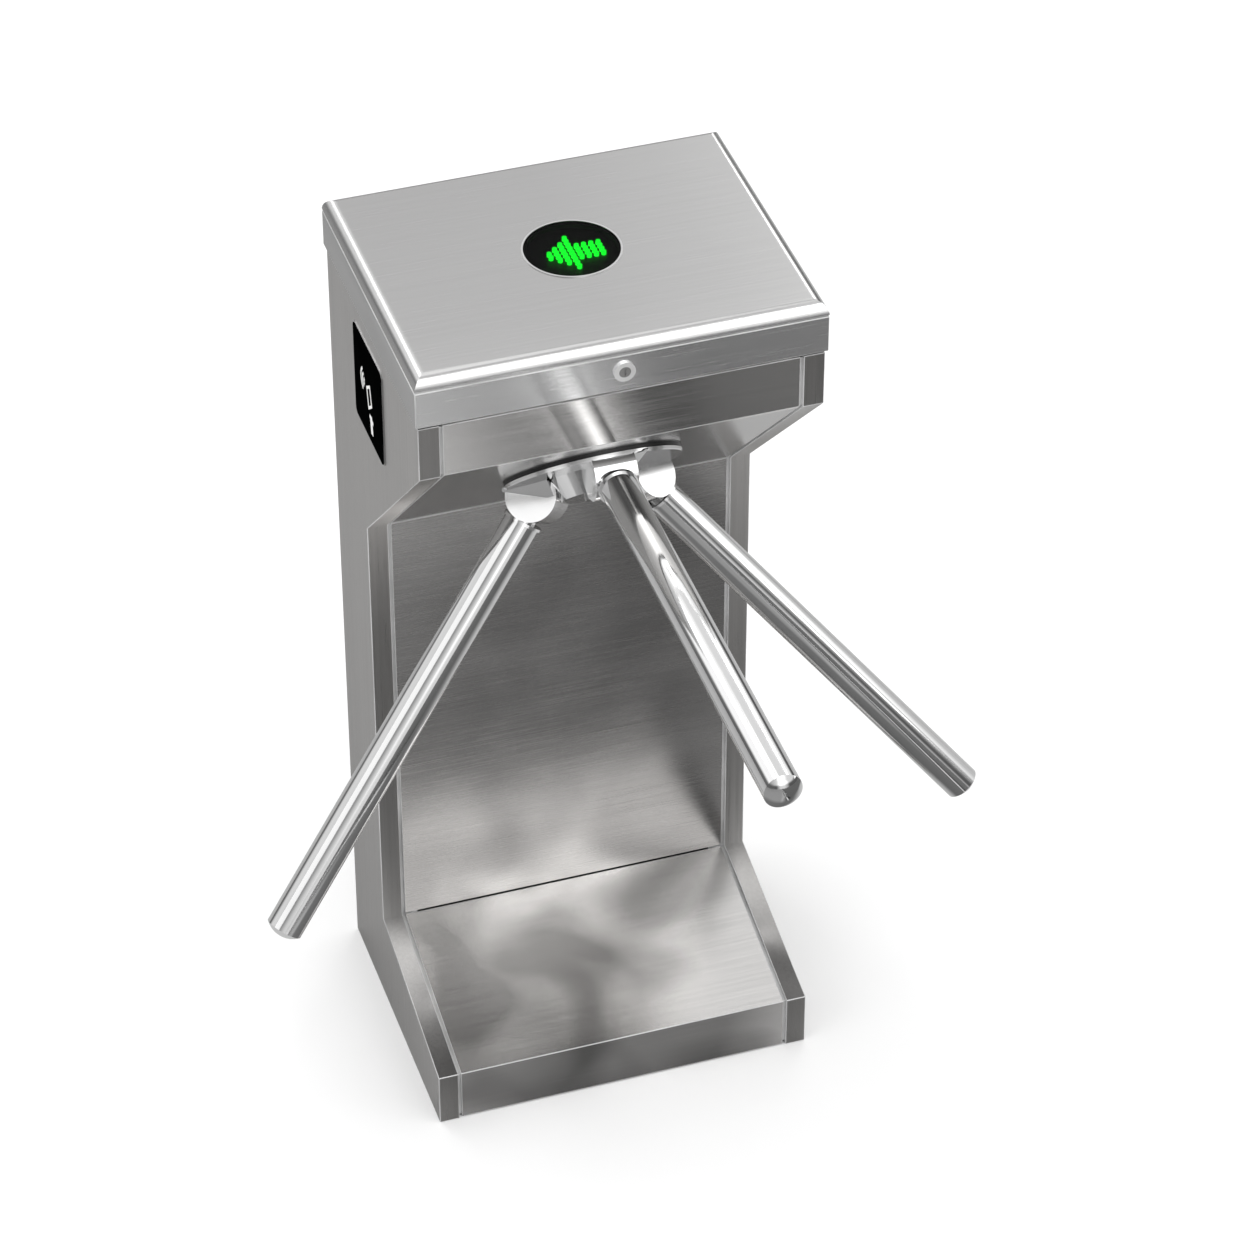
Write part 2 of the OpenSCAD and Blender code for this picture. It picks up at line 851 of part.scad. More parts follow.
// Hinge arms reach forward from their pivots and then up to the lid's underside, so that the rear
// edge of the top frame fits in their crook when the lid stands open
module hinge_arms() {
    rise = cabinet_h - lid_t - hinge_z;
    half_arm = hinge_arm_w / 2;
    color("dimgray") for (s = [-1, 1]) translate([s * hinge_x, hinge_y, hinge_z]) union() {
        translate([-hinge_arm_t / 2, 0, 0]) rotate([90, 0, 90]) linear_extrude(hinge_arm_t) difference() {
            union() {
                circle(r = hinge_eye_r, $fn = round_fn);
                translate([-hinge_reach, -half_arm]) square([hinge_reach, hinge_arm_w]);
                translate([-hinge_reach, 0]) circle(r = half_arm, $fn = round_fn);
                translate([-hinge_reach - half_arm, 0]) square([hinge_arm_w, rise]);
            }
            circle(r = hinge_pin_r, $fn = round_fn);
        }
        block(
            [-hinge_foot_w / 2, -hinge_reach - hinge_foot_l / 2, rise - hinge_foot_t],
            [hinge_foot_w / 2, hinge_foot_l / 2 - hinge_reach, rise]
        );
    }
}

module hinge_pins() {
    color("lightgray") at_hinges() bar(hinge_pin_r, -hinge_pin_l / 2, hinge_pin_l / 2);
}

module display_bezel() {
    color("white") tube(display_r + bezel_w, display_r - lens_gap / 4, cabinet_h, cabinet_h + bezel_h);
}

module display_lens() {
    color("black") bar(display_r - lens_gap, cabinet_h - lid_t, cabinet_h - lid_t + lens_t);
}

module display_leds() {
    top = cabinet_h - lid_t - lens_gap;
    color("lime") for (i = [0 : len(led_counts) - 1], j = [0 : led_counts[i] - 1])
        translate([(i - led_middle) * led_pitch, (j - (led_counts[i] - 1) / 2) * led_pitch_y, 0])
            bar(led_r, top - led_h, top);
}

module display_board() {
    top = cabinet_h - lid_t - lens_gap - led_h;
    board_r = display_r + bezel_w - display_cup_t - lens_gap;
    color("darkgreen") union() {
        bar(board_r, top - display_board_t, top);
        for (a = [45 : 90 : 315]) rotate([0, 0, a]) translate([board_r - 2 * display_post_r, 0, 0])
            bar(display_post_r, cabinet_h - lid_t - display_cup_depth + display_cup_t, top - display_board_t);
    }
}

module display_cup() {
    top = cabinet_h - lid_t;
    cup_r = display_r + bezel_w;
    color("darkslategray") union() {
        difference() {
            bar(cup_r, top - display_cup_depth, top);
            bar(cup_r - display_cup_t, top - display_cup_depth + display_cup_t, top + over);
        }
        for (a = [0 : 90 : 270]) rotate([0, 0, a])
            block(
                [cup_r - display_cup_t / 2, -display_ear_w / 2, top - display_cup_t],
                [cup_r + display_ear_w, display_ear_w / 2, top]
            );
    }
}

// Children on both sides of the cabinet at the reader, with z pointing outward and x to the right
// of whoever looks at it
module at_readers() {
    for (s = [0, 1]) mirror([s, 0, 0])
        translate([half_w, reader_y, reader_z]) rotate([90, 0, 90]) mirror([s, 0, 0]) children();
}

module reader_windows() {
    color("black") at_readers() linear_extrude(reader_window_t)
        rounded_plate(reader_l, reader_h, reader_corner_r);
}

module reader_bezels() {
    color("white") at_readers() linear_extrude(reader_bezel_t) difference() {
        rounded_plate(
            reader_l + 2 * reader_bezel_w, reader_h + 2 * reader_bezel_w, reader_corner_r + reader_bezel_w
        );
        rounded_plate(reader_l, reader_h, reader_corner_r);
    }
}

// A straight stroke between two points
module stroke(a, b, w) {
    d = b - a;
    translate(a) rotate(atan2(d[1], d[0])) translate([0, -w / 2]) square([norm(d), w]);
}

// Generic sign for a contactless card: waves, and a hand that holds a slanted card towards them
module reader_icons() {
    color("white") at_readers() translate([0, 0, reader_window_t]) linear_extrude(icon_t) union() {
        translate(wave_shift) rotate(180 - wave_deg / 2) for (r = wave_radii) intersection() {
            difference() {
                circle(r = r + icon_line / 2, $fn = round_fn);
                circle(r = r - icon_line / 2, $fn = round_fn);
            }
            polygon(concat([[0, 0]], [for (a = [0, wave_deg / 2, wave_deg]) 2 * r * [cos(a), sin(a)]]));
        }
        difference() {
            polygon(card_corners);
            polygon(inset(card_corners, icon_line));
        }
        stroke(finger_points[0], finger_points[1], finger_w);
        stroke(hand_points[0], hand_points[1], hand_w);
    }
}

module reader_modules() {
    color("darkgreen") at_readers() translate([0, 0, -sheet_t - reader_box_d]) union() {
        linear_extrude(reader_box_d)
            rounded_plate(reader_l - reader_lip, reader_h - reader_lip, reader_corner_r);
        linear_extrude(reader_box_d + sheet_t)
            rounded_plate(
                reader_l - 2 * reader_lip - clear_gap, reader_h - 2 * reader_lip - clear_gap,
                reader_corner_r - clear_gap / 2
            );
    }
}

module mechanism_rails() {
    color("dimgray") at_hub() for (s = [-1, 1]) mirror([s > 0 ? 0 : 1, 0, 0]) union() {
        block([half_w - sheet_t - rail_w, -rail_half_l, rail_back], [half_w - sheet_t, rail_half_l, rail_front]);
        block(
            [half_w - sheet_t - rail_t, -rail_half_l, rail_front - rail_leg],
            [half_w - sheet_t, rail_half_l, rail_front]
        );
    }
}

// Places of the bolts that hold the mechanism to its rails
module at_rail_bolts() {
    for (sx = [-1, 1], sy = [-1, 1])
        translate([sx * (half_w - sheet_t - rail_w + rail_w / 3), sy * (rail_half_l - rail_w / 2), 0])
            children();
}

module mechanism_plate() {
    color("slategray") at_hub() difference() {
        block(
            [-plate_half_w, -plate_half_l, plate_back],
            [plate_half_w, plate_half_l, rail_back]
        );
        bar(plate_hole_r, plate_back - over, rail_back + over);
        at_rail_bolts() bar(rail_bolt_r + clear_gap, plate_back - over, rail_back + over);
    }
}

// Bolts through the mechanism plate into the rails' weld nuts
module mechanism_bolts() {
    color("lightgray") at_hub() at_rail_bolts() union() {
        translate([0, 0, plate_back - rail_bolt_head_h])
            cylinder(r = rail_bolt_head_r, h = rail_bolt_head_h, $fn = 6);
        bar(rail_bolt_r, plate_back - rail_bolt_head_h / 2, rail_back);
    }
}

module hub_collar() {
    color("gainsboro") at_hub() tube(collar_r, collar_bore_r, collar_back, collar_front);
}

module bearing_housing() {
    seat = bearing_r + fit_gap / 2;
    color("steelblue") at_hub() difference() {
        union() {
            bar(housing_flange_r, plate_back - housing_flange_t, plate_back);
            bar(housing_r, housing_back, plate_back);
        }
        bar(seat, plate_back - bearing_w, plate_back + over);
        bar(seat, housing_back - over, housing_back + bearing_w);
        bar(housing_rib_r, housing_back, plate_back);
    }
}

// Children at each bearing, with z from 0 to the bearing's width
module at_bearings() {
    for (z = [plate_back - bearing_w, housing_back]) translate([0, 0, z]) children();
}

module bearing_outer_rings() {
    color("lightgray") at_hub() at_bearings() union() {
        tube(bearing_r, bearing_r - race_t, 0, bearing_w);
        tube(bearing_r - race_t / 2, shaft_r + race_t + race_gap, 0, shield_t);
        tube(bearing_r - race_t / 2, shaft_r + race_t + race_gap, bearing_w - shield_t, bearing_w);
    }
}

module bearing_inner_rings() {
    color("lightgray") at_hub() at_bearings() tube(shaft_r + race_t, shaft_r + fit_gap / 2, 0, bearing_w);
}

module bearing_balls() {
    orbit_r = (bearing_r + shaft_r) / 2;
    color("white") at_hub() at_bearings() for (k = [0 : ball_count - 1])
        rotate([0, 0, k * 360 / ball_count]) translate([orbit_r, 0, bearing_w / 2])
            sphere(r = ball_r, $fn = round_fn);
}

// One lobe of the hub, with x pointing out along it: a round knuckle whose lower half widens into
// a web that stands on the disc
module hub_lobe() {
    half_k = knuckle_w / 2;
    reach = knuckle_r * web_share;
    edge_in = [knuckle_radial - reach * cos(web_slope_deg), knuckle_z + reach * sin(web_slope_deg)];
    edge_out = [knuckle_radial + reach * cos(web_slope_deg), knuckle_z - reach * sin(web_slope_deg)];
    translate([knuckle_radial, half_k, knuckle_z]) rotate([90, 0, 0])
        cylinder(r = knuckle_r, h = knuckle_w, $fn = round_fn);
    intersection() {
        translate([0, knuckle_w, 0]) rotate([90, 0, 0]) linear_extrude(2 * knuckle_w)
            polygon([edge_in, [edge_in[0], disc_back + over], [web_foot_r, disc_back + over], edge_out]);
        translate([knuckle_radial, 0, knuckle_z]) rotate([90, web_slope_deg, 90])
            translate([0, 0, -2 * knuckle_r]) linear_extrude(4 * knuckle_r) polygon([
                [-half_k + web_draft * over, over], [-half_k - web_draft * knuckle_w, -knuckle_w],
                [half_k + web_draft * knuckle_w, -knuckle_w], [half_k - web_draft * over, over]
            ]);
    }
}

module hub_casting() {
    color("gainsboro") at_hub() difference() {
        union() {
            bar(hub_disc_r - disc_chamfer, disc_back, disc_front);
            bar(hub_disc_r, disc_back, disc_front - disc_chamfer);
            translate([0, 0, disc_front - over])
                cylinder(r1 = drum_r, r2 = drum_front_r, h = drum_h + over, $fn = round_fn);
            for (a = arm_angles) rotate([0, 0, a]) hub_lobe();
        }
        bar(hub_disc_r, disc_back - knuckle_r, disc_back);
        bar(hub_bolt_r + clear_gap, disc_back - over, drum_front + over);
        bar(hub_pocket_r, drum_front - hub_bolt_head_h, drum_front + over);
        along_arms() bar(shank_r + fit_gap / 2, spigot_start - shank_depth, spigot_start + knuckle_r);
        along_arms() bar(arm_screw_r + clear_gap, arm_screw_seat - over, spigot_start);
        along_arms() bar(arm_pocket_r, arm_screw_seat - arm_screw_head_h - knuckle_r, arm_screw_seat);
    }
}

module hub_cap() {
    color("white") at_hub() union() {
        bar(hub_cap_r, drum_front, drum_front + hub_cap_h);
        tube(hub_pocket_r - fit_gap, hub_bolt_head_r + clear_gap, drum_front - hub_cap_h, drum_front + over);
    }
}

module hub_bolt() {
    seat = drum_front - hub_bolt_head_h;
    color("dimgray") at_hub() union() {
        bar(hub_bolt_head_r, seat, drum_front - clear_gap);
        bar(hub_bolt_r, seat - hub_bolt_l, seat + over);
    }
}

module arm_spigots() {
    color("lightgray") at_hub() along_arms() difference() {
        union() {
            bar(shank_r, spigot_start - shank_depth, tube_start);
            bar(arm_r + collar_w, spigot_start, tube_start);
            bar(arm_r - arm_wall - fit_gap / 2, tube_start - over, tube_start + spigot_l);
        }
        bar(arm_screw_r, spigot_start - shank_depth - over, arm_screw_seat + arm_screw_l);
    }
}

module arm_screws() {
    color("dimgray") at_hub() along_arms() union() {
        bar(arm_screw_head_r, arm_screw_seat - arm_screw_head_h, arm_screw_seat);
        bar(arm_screw_r, arm_screw_seat - over, arm_screw_seat + arm_screw_l);
    }
}

module arm_tubes() {
    color("gainsboro") at_hub() along_arms() tube(arm_r, arm_r - arm_wall, tube_start, tube_end);
}

// End caps with a shallow dome
module arm_end_caps() {
    dome_r = (arm_r * arm_r + cap_dome_h * cap_dome_h) / (2 * cap_dome_h);
    color("white") at_hub() along_arms() union() {
        intersection() {
            bar(arm_r, tube_end, arm_reach);
            translate([0, 0, arm_reach - dome_r]) sphere(r = dome_r, $fn = round_fn);
        }
        bar(arm_r - arm_wall - fit_gap / 2, tube_end - cap_plug_l, tube_end + over);
    }
}

module key_slot() {
    block([-key_w / 2, tail_r - key_h / 2, gear_back], [key_w / 2, tail_r + key_h / 2, index_front]);
}

module hub_spindle() {
    color("silver") at_hub() difference() {
        union() {
            bar(flange_r, disc_back - flange_t, disc_back);
            bar(shoulder_r, plate_back, disc_back - flange_t + over);
            bar(shaft_r, housing_back, plate_back + over);
            bar(tail_r, spindle_end, housing_back + over);
        }
        bar(hub_bolt_r + fit_gap, drum_front - hub_bolt_head_h - hub_bolt_l - over, disc_back + over);
        key_slot();
    }
}

// Points of a gear's straight-sided teeth
function gear_points(teeth, root_r, tip_r) = [
    for (k = [0 : teeth - 1], p = [
        [root_r, -tooth_root_half_share], [tip_r, -tooth_tip_half_share],
        [tip_r, tooth_tip_half_share], [root_r, tooth_root_half_share]
    ])
        let (a = 360 * (k + p[1]) / teeth) p[0] * [cos(a), sin(a)]
];

module gear_outline(teeth, turn_deg) {
    pitch_r = gear_module * teeth / 2;
    rotate(turn_deg)
        polygon(gear_points(teeth, pitch_r - tooth_root_share * gear_module, pitch_r + gear_module));
}

// Everything clamped on the spindle's tail: spacers, index disc, gear, encoder disc, nut and key
module spindle_stack() {
    bore = tail_r + fit_gap;
    color("darkgoldenrod") at_hub() {
        tube(shoulder_r, shaft_r + fit_gap, housing_back + bearing_w, plate_back - bearing_w);
        tube(shoulder_r, bore, index_front, housing_back);
        difference() {
            tube(index_r, bore, index_back, index_front);
            for (k = [0 : index_notches - 1]) rotate([0, 0, 180 + k * 360 / index_notches])
                translate([index_r - notch_depth, -notch_w / 2, index_back - over])
                    cube([notch_depth + over, notch_w, index_t + 2 * over]);
            key_slot();
        }
        difference() {
            translate([0, 0, gear_back]) linear_extrude(gear_t) difference() {
                gear_outline(gear_teeth, 0);
                circle(r = bore, $fn = round_fn);
            }
            key_slot();
        }
        tube(shoulder_r, bore, encoder_front, gear_back);
        difference() {
            tube(encoder_r, bore, encoder_back, encoder_front);
            for (k = [0 : encoder_slots - 1]) rotate([0, 0, k * 360 / encoder_slots])
                translate([encoder_slot_r - encoder_slot_l / 2, -encoder_slot_w / 2, encoder_back - over])
                    cube([encoder_slot_l, encoder_slot_w, encoder_t + 2 * over]);
        }
        translate([0, 0, encoder_back - spindle_nut_t]) difference() {
            cylinder(r = spindle_nut_r, h = spindle_nut_t, $fn = 6);
            translate([0, 0, -over]) cylinder(r = bore, h = spindle_nut_t + 2 * over, $fn = round_fn);
        }
        block(
            [fit_gap - key_w / 2, tail_r - key_h / 2 + fit_gap, gear_back + over],
            [key_w / 2 - fit_gap, tail_r + key_h / 2 - fit_gap, index_front - over]
        );
    }
}

module deck_standoffs() {
    color("gray") at_hub() for (p = standoff_places) translate([p[0], p[1], 0])
        bar(standoff_r, housing_back, plate_back);
}

module deck_plate() {
    color("slategray") at_hub() difference() {
        block([deck_x_min, deck_y_min, deck_back], [deck_x_max, deck_y_max, housing_back]);
        bar(shoulder_r + mount_gap, deck_back - over, housing_back + over);
        translate([pinion_x, 0, 0]) bar(motor_pilot_r, deck_back - over, housing_back + over);
    }
}

module drive_motor() {
    color("black") at_hub() translate([pinion_x, 0, 0]) difference() {
        union() {
            translate([0, 0, housing_back]) linear_extrude(motor_l) rounded_plate(motor_w, motor_w, motor_corner_r);
            bar(motor_pilot_r - fit_gap, deck_back, housing_back + over);
        }
        bar(motor_shaft_r + fit_gap, deck_back - over, housing_back + motor_l / 2);
    }
}

module motor_pinion() {
    front = index_back - pinion_clear;
    color("darkgoldenrod") at_hub() translate([pinion_x, 0, 0]) union() {
        translate([0, 0, front - pinion_t]) linear_extrude(pinion_t)
            gear_outline(pinion_teeth, 180 + 180 / pinion_teeth);
        bar(motor_shaft_r, front - over, housing_back + motor_l / 2 - clear_gap);
    }
}

module solenoid() {
    half_s = solenoid_w / 2;
    low = 2 * pawl_z - deck_back;
    color("darkred") at_hub() difference() {
        block(
            [solenoid_back_x, pawl_attach_y - half_s, low],
            [solenoid_back_x + solenoid_l, pawl_attach_y + half_s, deck_back]
        );
        translate([solenoid_back_x + over, pawl_attach_y, pawl_z]) rotate([0, 90, 0])
            bar(plunger_r + fit_gap, 0, solenoid_l + over);
    }
}

module solenoid_plunger() {
    tip = pawl_x + plunger_r;
    color("silver") at_hub() translate([0, pawl_attach_y, pawl_z]) union() {
        difference() {
            translate([tip - plunger_l, 0, 0]) rotate([0, 90, 0]) bar(plunger_r, 0, plunger_l);
            block(
                [pawl_x - pawl_w, -plunger_r - over, -pawl_t / 2 - clear_gap],
                [tip + over, plunger_r + over, pawl_t / 2 + clear_gap]
            );
        }
        translate([pawl_x, 0, 0]) bar(plunger_pin_r, -plunger_r, plunger_r);
    }
}

// Pawl plate about its pivot, at rest beside the index disc
module lock_pawl() {
    attach = pawl_attach_y - pawl_pivot_y;
    spring_arm = pawl_spring_y - pawl_pivot_y;
    tooth_tip = -index_r - tooth_gap - pawl_x;
    tooth_mid = -pawl_pivot_y + tooth_lead;
    color("steelblue") at_hub() translate([pawl_x, pawl_pivot_y, pawl_z - pawl_t / 2]) difference() {
        union() {
            bar(pawl_boss_r, 0, pawl_t);
            block([-pawl_w / 2, 0, 0], [pawl_w / 2, spring_arm, pawl_t]);
            block([0, tooth_mid - tooth_w / 2, 0], [tooth_tip, tooth_mid + tooth_w / 2, pawl_t]);
            translate([0, spring_arm, 0]) bar(pawl_w / 2, 0, pawl_t);
        }
        bar(pawl_pin_r + fit_gap, -over, pawl_t + over);
        for (s = [-1, 1]) translate([0, attach + s * (plunger_slot_l / 2 - plunger_pin_r), 0])
            bar(plunger_pin_r + clear_gap, -over, pawl_t + over);
        block(
            [-plunger_pin_r - clear_gap, attach - plunger_slot_l / 2 + plunger_pin_r, -over],
            [plunger_pin_r + clear_gap, attach + plunger_slot_l / 2 - plunger_pin_r, pawl_t + over]
        );
        translate([0, spring_arm, 0]) bar(spring_post_r, -over, pawl_t + over);
    }
}

// Pivot pin of the pawl and the post that holds its spring, both set in the deck
module pawl_posts() {
    color("lightgray") at_hub() {
        translate([pawl_x, pawl_pivot_y, 0]) union() {
            bar(pawl_pin_r, pawl_z - pawl_t / 2 - pawl_post_tail, deck_back);
            bar(pawl_boss_r, pawl_z + pawl_t / 2 + clear_gap, deck_back);
        }
        translate([spring_post_x, pawl_spring_y, 0]) bar(spring_post_r, pawl_z - spring_r, deck_back);
    }
}

module pawl_spring() {
    start = spring_post_x + spring_post_r + clear_gap;
    end = pawl_x - pawl_w / 2 - clear_gap;
    color("gold") at_hub() translate([start, pawl_spring_y, pawl_z]) rotate([0, 90, 0])
        tube(spring_r, spring_r - 2 * spring_wire_r, 0, end - start);
}

module sensor_bracket() {
    wall_y = sensor_board_y - sensor_board_t;
    half_b = sensor_board_w / 2;
    color("gray") at_hub() union() {
        block([-half_b, wall_y - bracket_t, encoder_back - sensor_w / 2], [half_b, wall_y, deck_back]);
        block([-half_b, wall_y - bracket_foot_l, deck_back - bracket_t], [half_b, wall_y, deck_back]);
    }
}

module position_sensor() {
    wall_y = sensor_board_y - sensor_board_t;
    mid = (encoder_front + encoder_back) / 2;
    half_s = sensor_w / 2;
    jaw = encoder_t / 2 + sensor_slot_gap;
    color("darkgreen") at_hub() difference() {
        union() {
            block(
                [-sensor_board_w / 2, wall_y, mid - half_s],
                [sensor_board_w / 2, sensor_board_y, gear_back + gear_t]
            );
            block([-half_s, sensor_board_y, mid - jaw - sensor_wall], [half_s, sensor_reach_y, mid + jaw + sensor_wall]);
        }
        block(
            [-half_s - over, -encoder_r - sensor_slot_gap, mid - jaw],
            [half_s + over, sensor_reach_y + over, mid + jaw]
        );
    }
}

module equipment_plate() {
    color("lightgray") difference() {
        block(
            [-equipment_half_w, equipment_y, equipment_z],
            [equipment_half_w, equipment_y + equipment_t, equipment_z + equipment_h]
        );
        for (share = column_stud_shares, side = [-1, 1])
            at_edge(column_edge, share, side * stud_x, flange_back - over)
                bar(nut_r + clear_gap, 0, equipment_t + 2 * over);
    }
}

module power_supply() {
    color("silver") translate([supply_x - supply_w / 2, equipment_y + equipment_t, equipment_z + supply_z])
        cube([supply_w, supply_d, supply_l]);
}

module controller_board() {
    y0 = equipment_y + equipment_t;
    color("darkgreen") translate([board_x, y0, equipment_z + board_z]) union() {
        translate([-board_w / 2, board_standoff, 0]) cube([board_w, board_t, board_h]);
        for (sx = [-1, 1], z = [2 * board_standoff_r, board_h - 2 * board_standoff_r])
            translate([sx * (board_w / 2 - 2 * board_standoff_r), 0, z]) rotate([-90, 0, 0])
                bar(board_standoff_r, 0, board_standoff);
    }
}

module terminal_block() {
    y0 = equipment_y + equipment_t;
    color("green") translate([terminal_x, y0, equipment_z + terminal_z]) union() {
        block(
            [-rail_profile_w / 2, 0, -rail_profile_h / 2],
            [rail_profile_w / 2, rail_profile_t, rail_profile_h / 2]
        );
        for (k = [0 : terminal_count - 1]) {
            pitch = terminal_w / terminal_count;
            translate([(k - terminal_count / 2) * pitch, rail_profile_t, -terminal_h / 2])
                cube([pitch - clear_gap, terminal_d, terminal_h]);
        }
    }
}

base_plate();
left_side_frame();
right_side_frame();
nose_panel();
column_panel();
foot_cover();
rear_panel();
panel_nuts();
top_frame();
lid_seal();
hinge_brackets();
lock_catch();
equipment_plate();
controller_board();
power_supply();
terminal_block();
reader_windows();
reader_bezels();
reader_icons();
reader_modules();
mechanism_rails();
mechanism_plate();
mechanism_bolts();
hub_collar();
bearing_housing();
bearing_outer_rings();
deck_standoffs();
deck_plate();
drive_motor();
solenoid();
pawl_posts();
sensor_bracket();
position_sensor();
lid_shell();
hinge_arms();
hinge_pins();
display_bezel();
display_lens();
display_leds();
display_board();
display_cup();
lock_body();
lock_nut();
lock_plug();
lock_cam();
hub_casting();
hub_cap();
hub_bolt();
arm_spigots();
arm_screws();
arm_tubes();
arm_end_caps();
hub_spindle();
bearing_inner_rings();
spindle_stack();
bearing_balls();
motor_pinion();
lock_pawl();
solenoid_plunger();
pawl_spring();
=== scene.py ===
"""Looks of a tripod turnstile in brushed and polished stainless steel, built round its CAD model."""

import json
import math

import bmesh
import bpy
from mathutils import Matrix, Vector

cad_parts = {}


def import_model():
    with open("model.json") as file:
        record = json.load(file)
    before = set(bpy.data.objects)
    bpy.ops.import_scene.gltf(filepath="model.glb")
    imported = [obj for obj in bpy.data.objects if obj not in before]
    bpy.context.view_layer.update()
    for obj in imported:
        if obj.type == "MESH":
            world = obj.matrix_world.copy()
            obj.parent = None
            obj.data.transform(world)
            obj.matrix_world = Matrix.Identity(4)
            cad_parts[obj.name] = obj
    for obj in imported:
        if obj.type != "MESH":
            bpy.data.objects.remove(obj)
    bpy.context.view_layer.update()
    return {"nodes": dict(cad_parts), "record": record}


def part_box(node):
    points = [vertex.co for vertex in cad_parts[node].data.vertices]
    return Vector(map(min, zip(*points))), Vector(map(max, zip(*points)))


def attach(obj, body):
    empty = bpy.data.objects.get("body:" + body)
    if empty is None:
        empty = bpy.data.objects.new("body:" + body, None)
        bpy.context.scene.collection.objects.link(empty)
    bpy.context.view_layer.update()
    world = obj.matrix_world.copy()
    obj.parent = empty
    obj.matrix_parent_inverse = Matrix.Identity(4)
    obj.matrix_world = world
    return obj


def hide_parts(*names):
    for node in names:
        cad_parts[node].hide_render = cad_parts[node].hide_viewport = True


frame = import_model()

# Grain directions, as how fast the grain changes along X, Y and Z
ALONG_X = (1, 160, 160)
ALONG_Z = (160, 160, 1)
WIPED = (1, 6, 6)
EVEN = (1, 1, 1)

# Camera of the photograph: its place, aim and sight in metres in the part's frame, and its lens and
# sensor in millimetres
CAMERA_PLACE = (-1.204, -3.858, 3.722)
CAMERA_AIM = (0.011, -0.141, 0.608)
CAMERA_SIGHT = 100
CAMERA_LENS = 142
CAMERA_SENSOR = 36

# Middle of the part that the lamps look at
LAMP_AIM = (0, -0.1, 0.5)

MILLIMETRE = 0.001
# Reach of the seat in the seams between the side frames and the panels, which takes the painted edge
# highlight so that it shows bright
SEAM = 3.4 * MILLIMETRE

# Rounding of the folds, and the shortest fold that is rounded
PANEL_FOLD = 0.8 * MILLIMETRE
FRAME_FOLD = 0.9 * MILLIMETRE
HUB_FOLD = 0.6 * MILLIMETRE
PANEL_FOLD_LENGTH = 25 * MILLIMETRE
FRAME_FOLD_LENGTH = 15 * MILLIMETRE
HUB_FOLD_LENGTH = 12 * MILLIMETRE
FOLD_SEGMENTS = 3

# Angles between two faces from which their edge is a fold to round, or stays sharp, and under which the
# faces are one flat face
FOLD_ANGLE = math.radians(28)
SHARP_ANGLE = math.radians(14)
FLAT_ANGLE = math.radians(0.6)
WELD = 0.02 * MILLIMETRE

# The floor, in metres, and how far it lies below the part's feet
FLOOR_RADIUS = 16.0
FLOOR_SIDES = 96
FLOOR_DROP = 0.5 * MILLIMETRE

# The floor as the metal mirrors it: levels round the part, from the left by the front and right to the
# rear, and further out in front by the place along X, up to a reach in metres
FLOOR_IN_METAL = (
    (0.0, 0.55), (0.08, 0.6), (0.16, 0.17), (0.34, 0.14), (0.42, 0.55), (0.5, 0.6), (0.75, 0.4), (1.0, 0.55),
)
FRONT_IN_METAL = (
    (0.0, 0.3), (0.15, 0.42), (0.3, 0.25), (0.4, 0.11), (0.48, 0.13), (0.5, 1.0), (0.55, 1.0),
    (0.57, 0.05), (0.7, 0.03), (0.78, 0.1), (1.0, 0.11),
)
FRONT_REACH = 0.64
# Places along Y between which the sectors round the part turn into the strips in front
FRONT_FADE = (-0.8, -1.1)

# The studio as the metal mirrors it: levels round the horizon from the left by the front, for walls and sky
WALLS_IN_METAL = (
    (0.0, 0.5), (0.1, 0.15), (0.2, 0.12), (0.24, 0.9), (0.3, 0.9), (0.34, 0.12), (0.45, 0.12),
    (0.5, 0.7), (0.56, 0.7), (0.6, 0.12), (0.68, 0.12), (0.75, 0.9), (0.82, 0.9), (0.87, 0.15), (1.0, 0.5),
)
SKY_IN_METAL = (
    (0.0, 0.2), (0.13, 0.16), (0.2, 0.38), (0.24, 0.95), (0.3, 0.95), (0.34, 0.38), (0.43, 0.38),
    (0.45, 0.9), (0.52, 0.9), (0.57, 0.38), (0.62, 0.48), (0.65, 0.48), (0.67, 0.4), (0.75, 0.4),
    (0.78, 0.55), (0.88, 0.55), (0.92, 0.38), (1.0, 0.36),
)
SKY_PEAK = 2.4
ZENITH_IN_METAL = 0.7
# Heights of a unit ray between which the walls turn into the sky, and the sky into the zenith
SKY_RISE = (0.12, 0.3)
ZENITH_RISE = (0.72, 0.9)
# Level of the studio on matt surfaces, and of the paper white behind the part
MATT_LEVEL = 0.97
PAPER_WHITE = 1.0


def grey(level, warmth=0.0):
    """A grey, made redder and less blue by the share of warmth."""
    return (level * (1 + warmth), level, level * (1 - warmth))


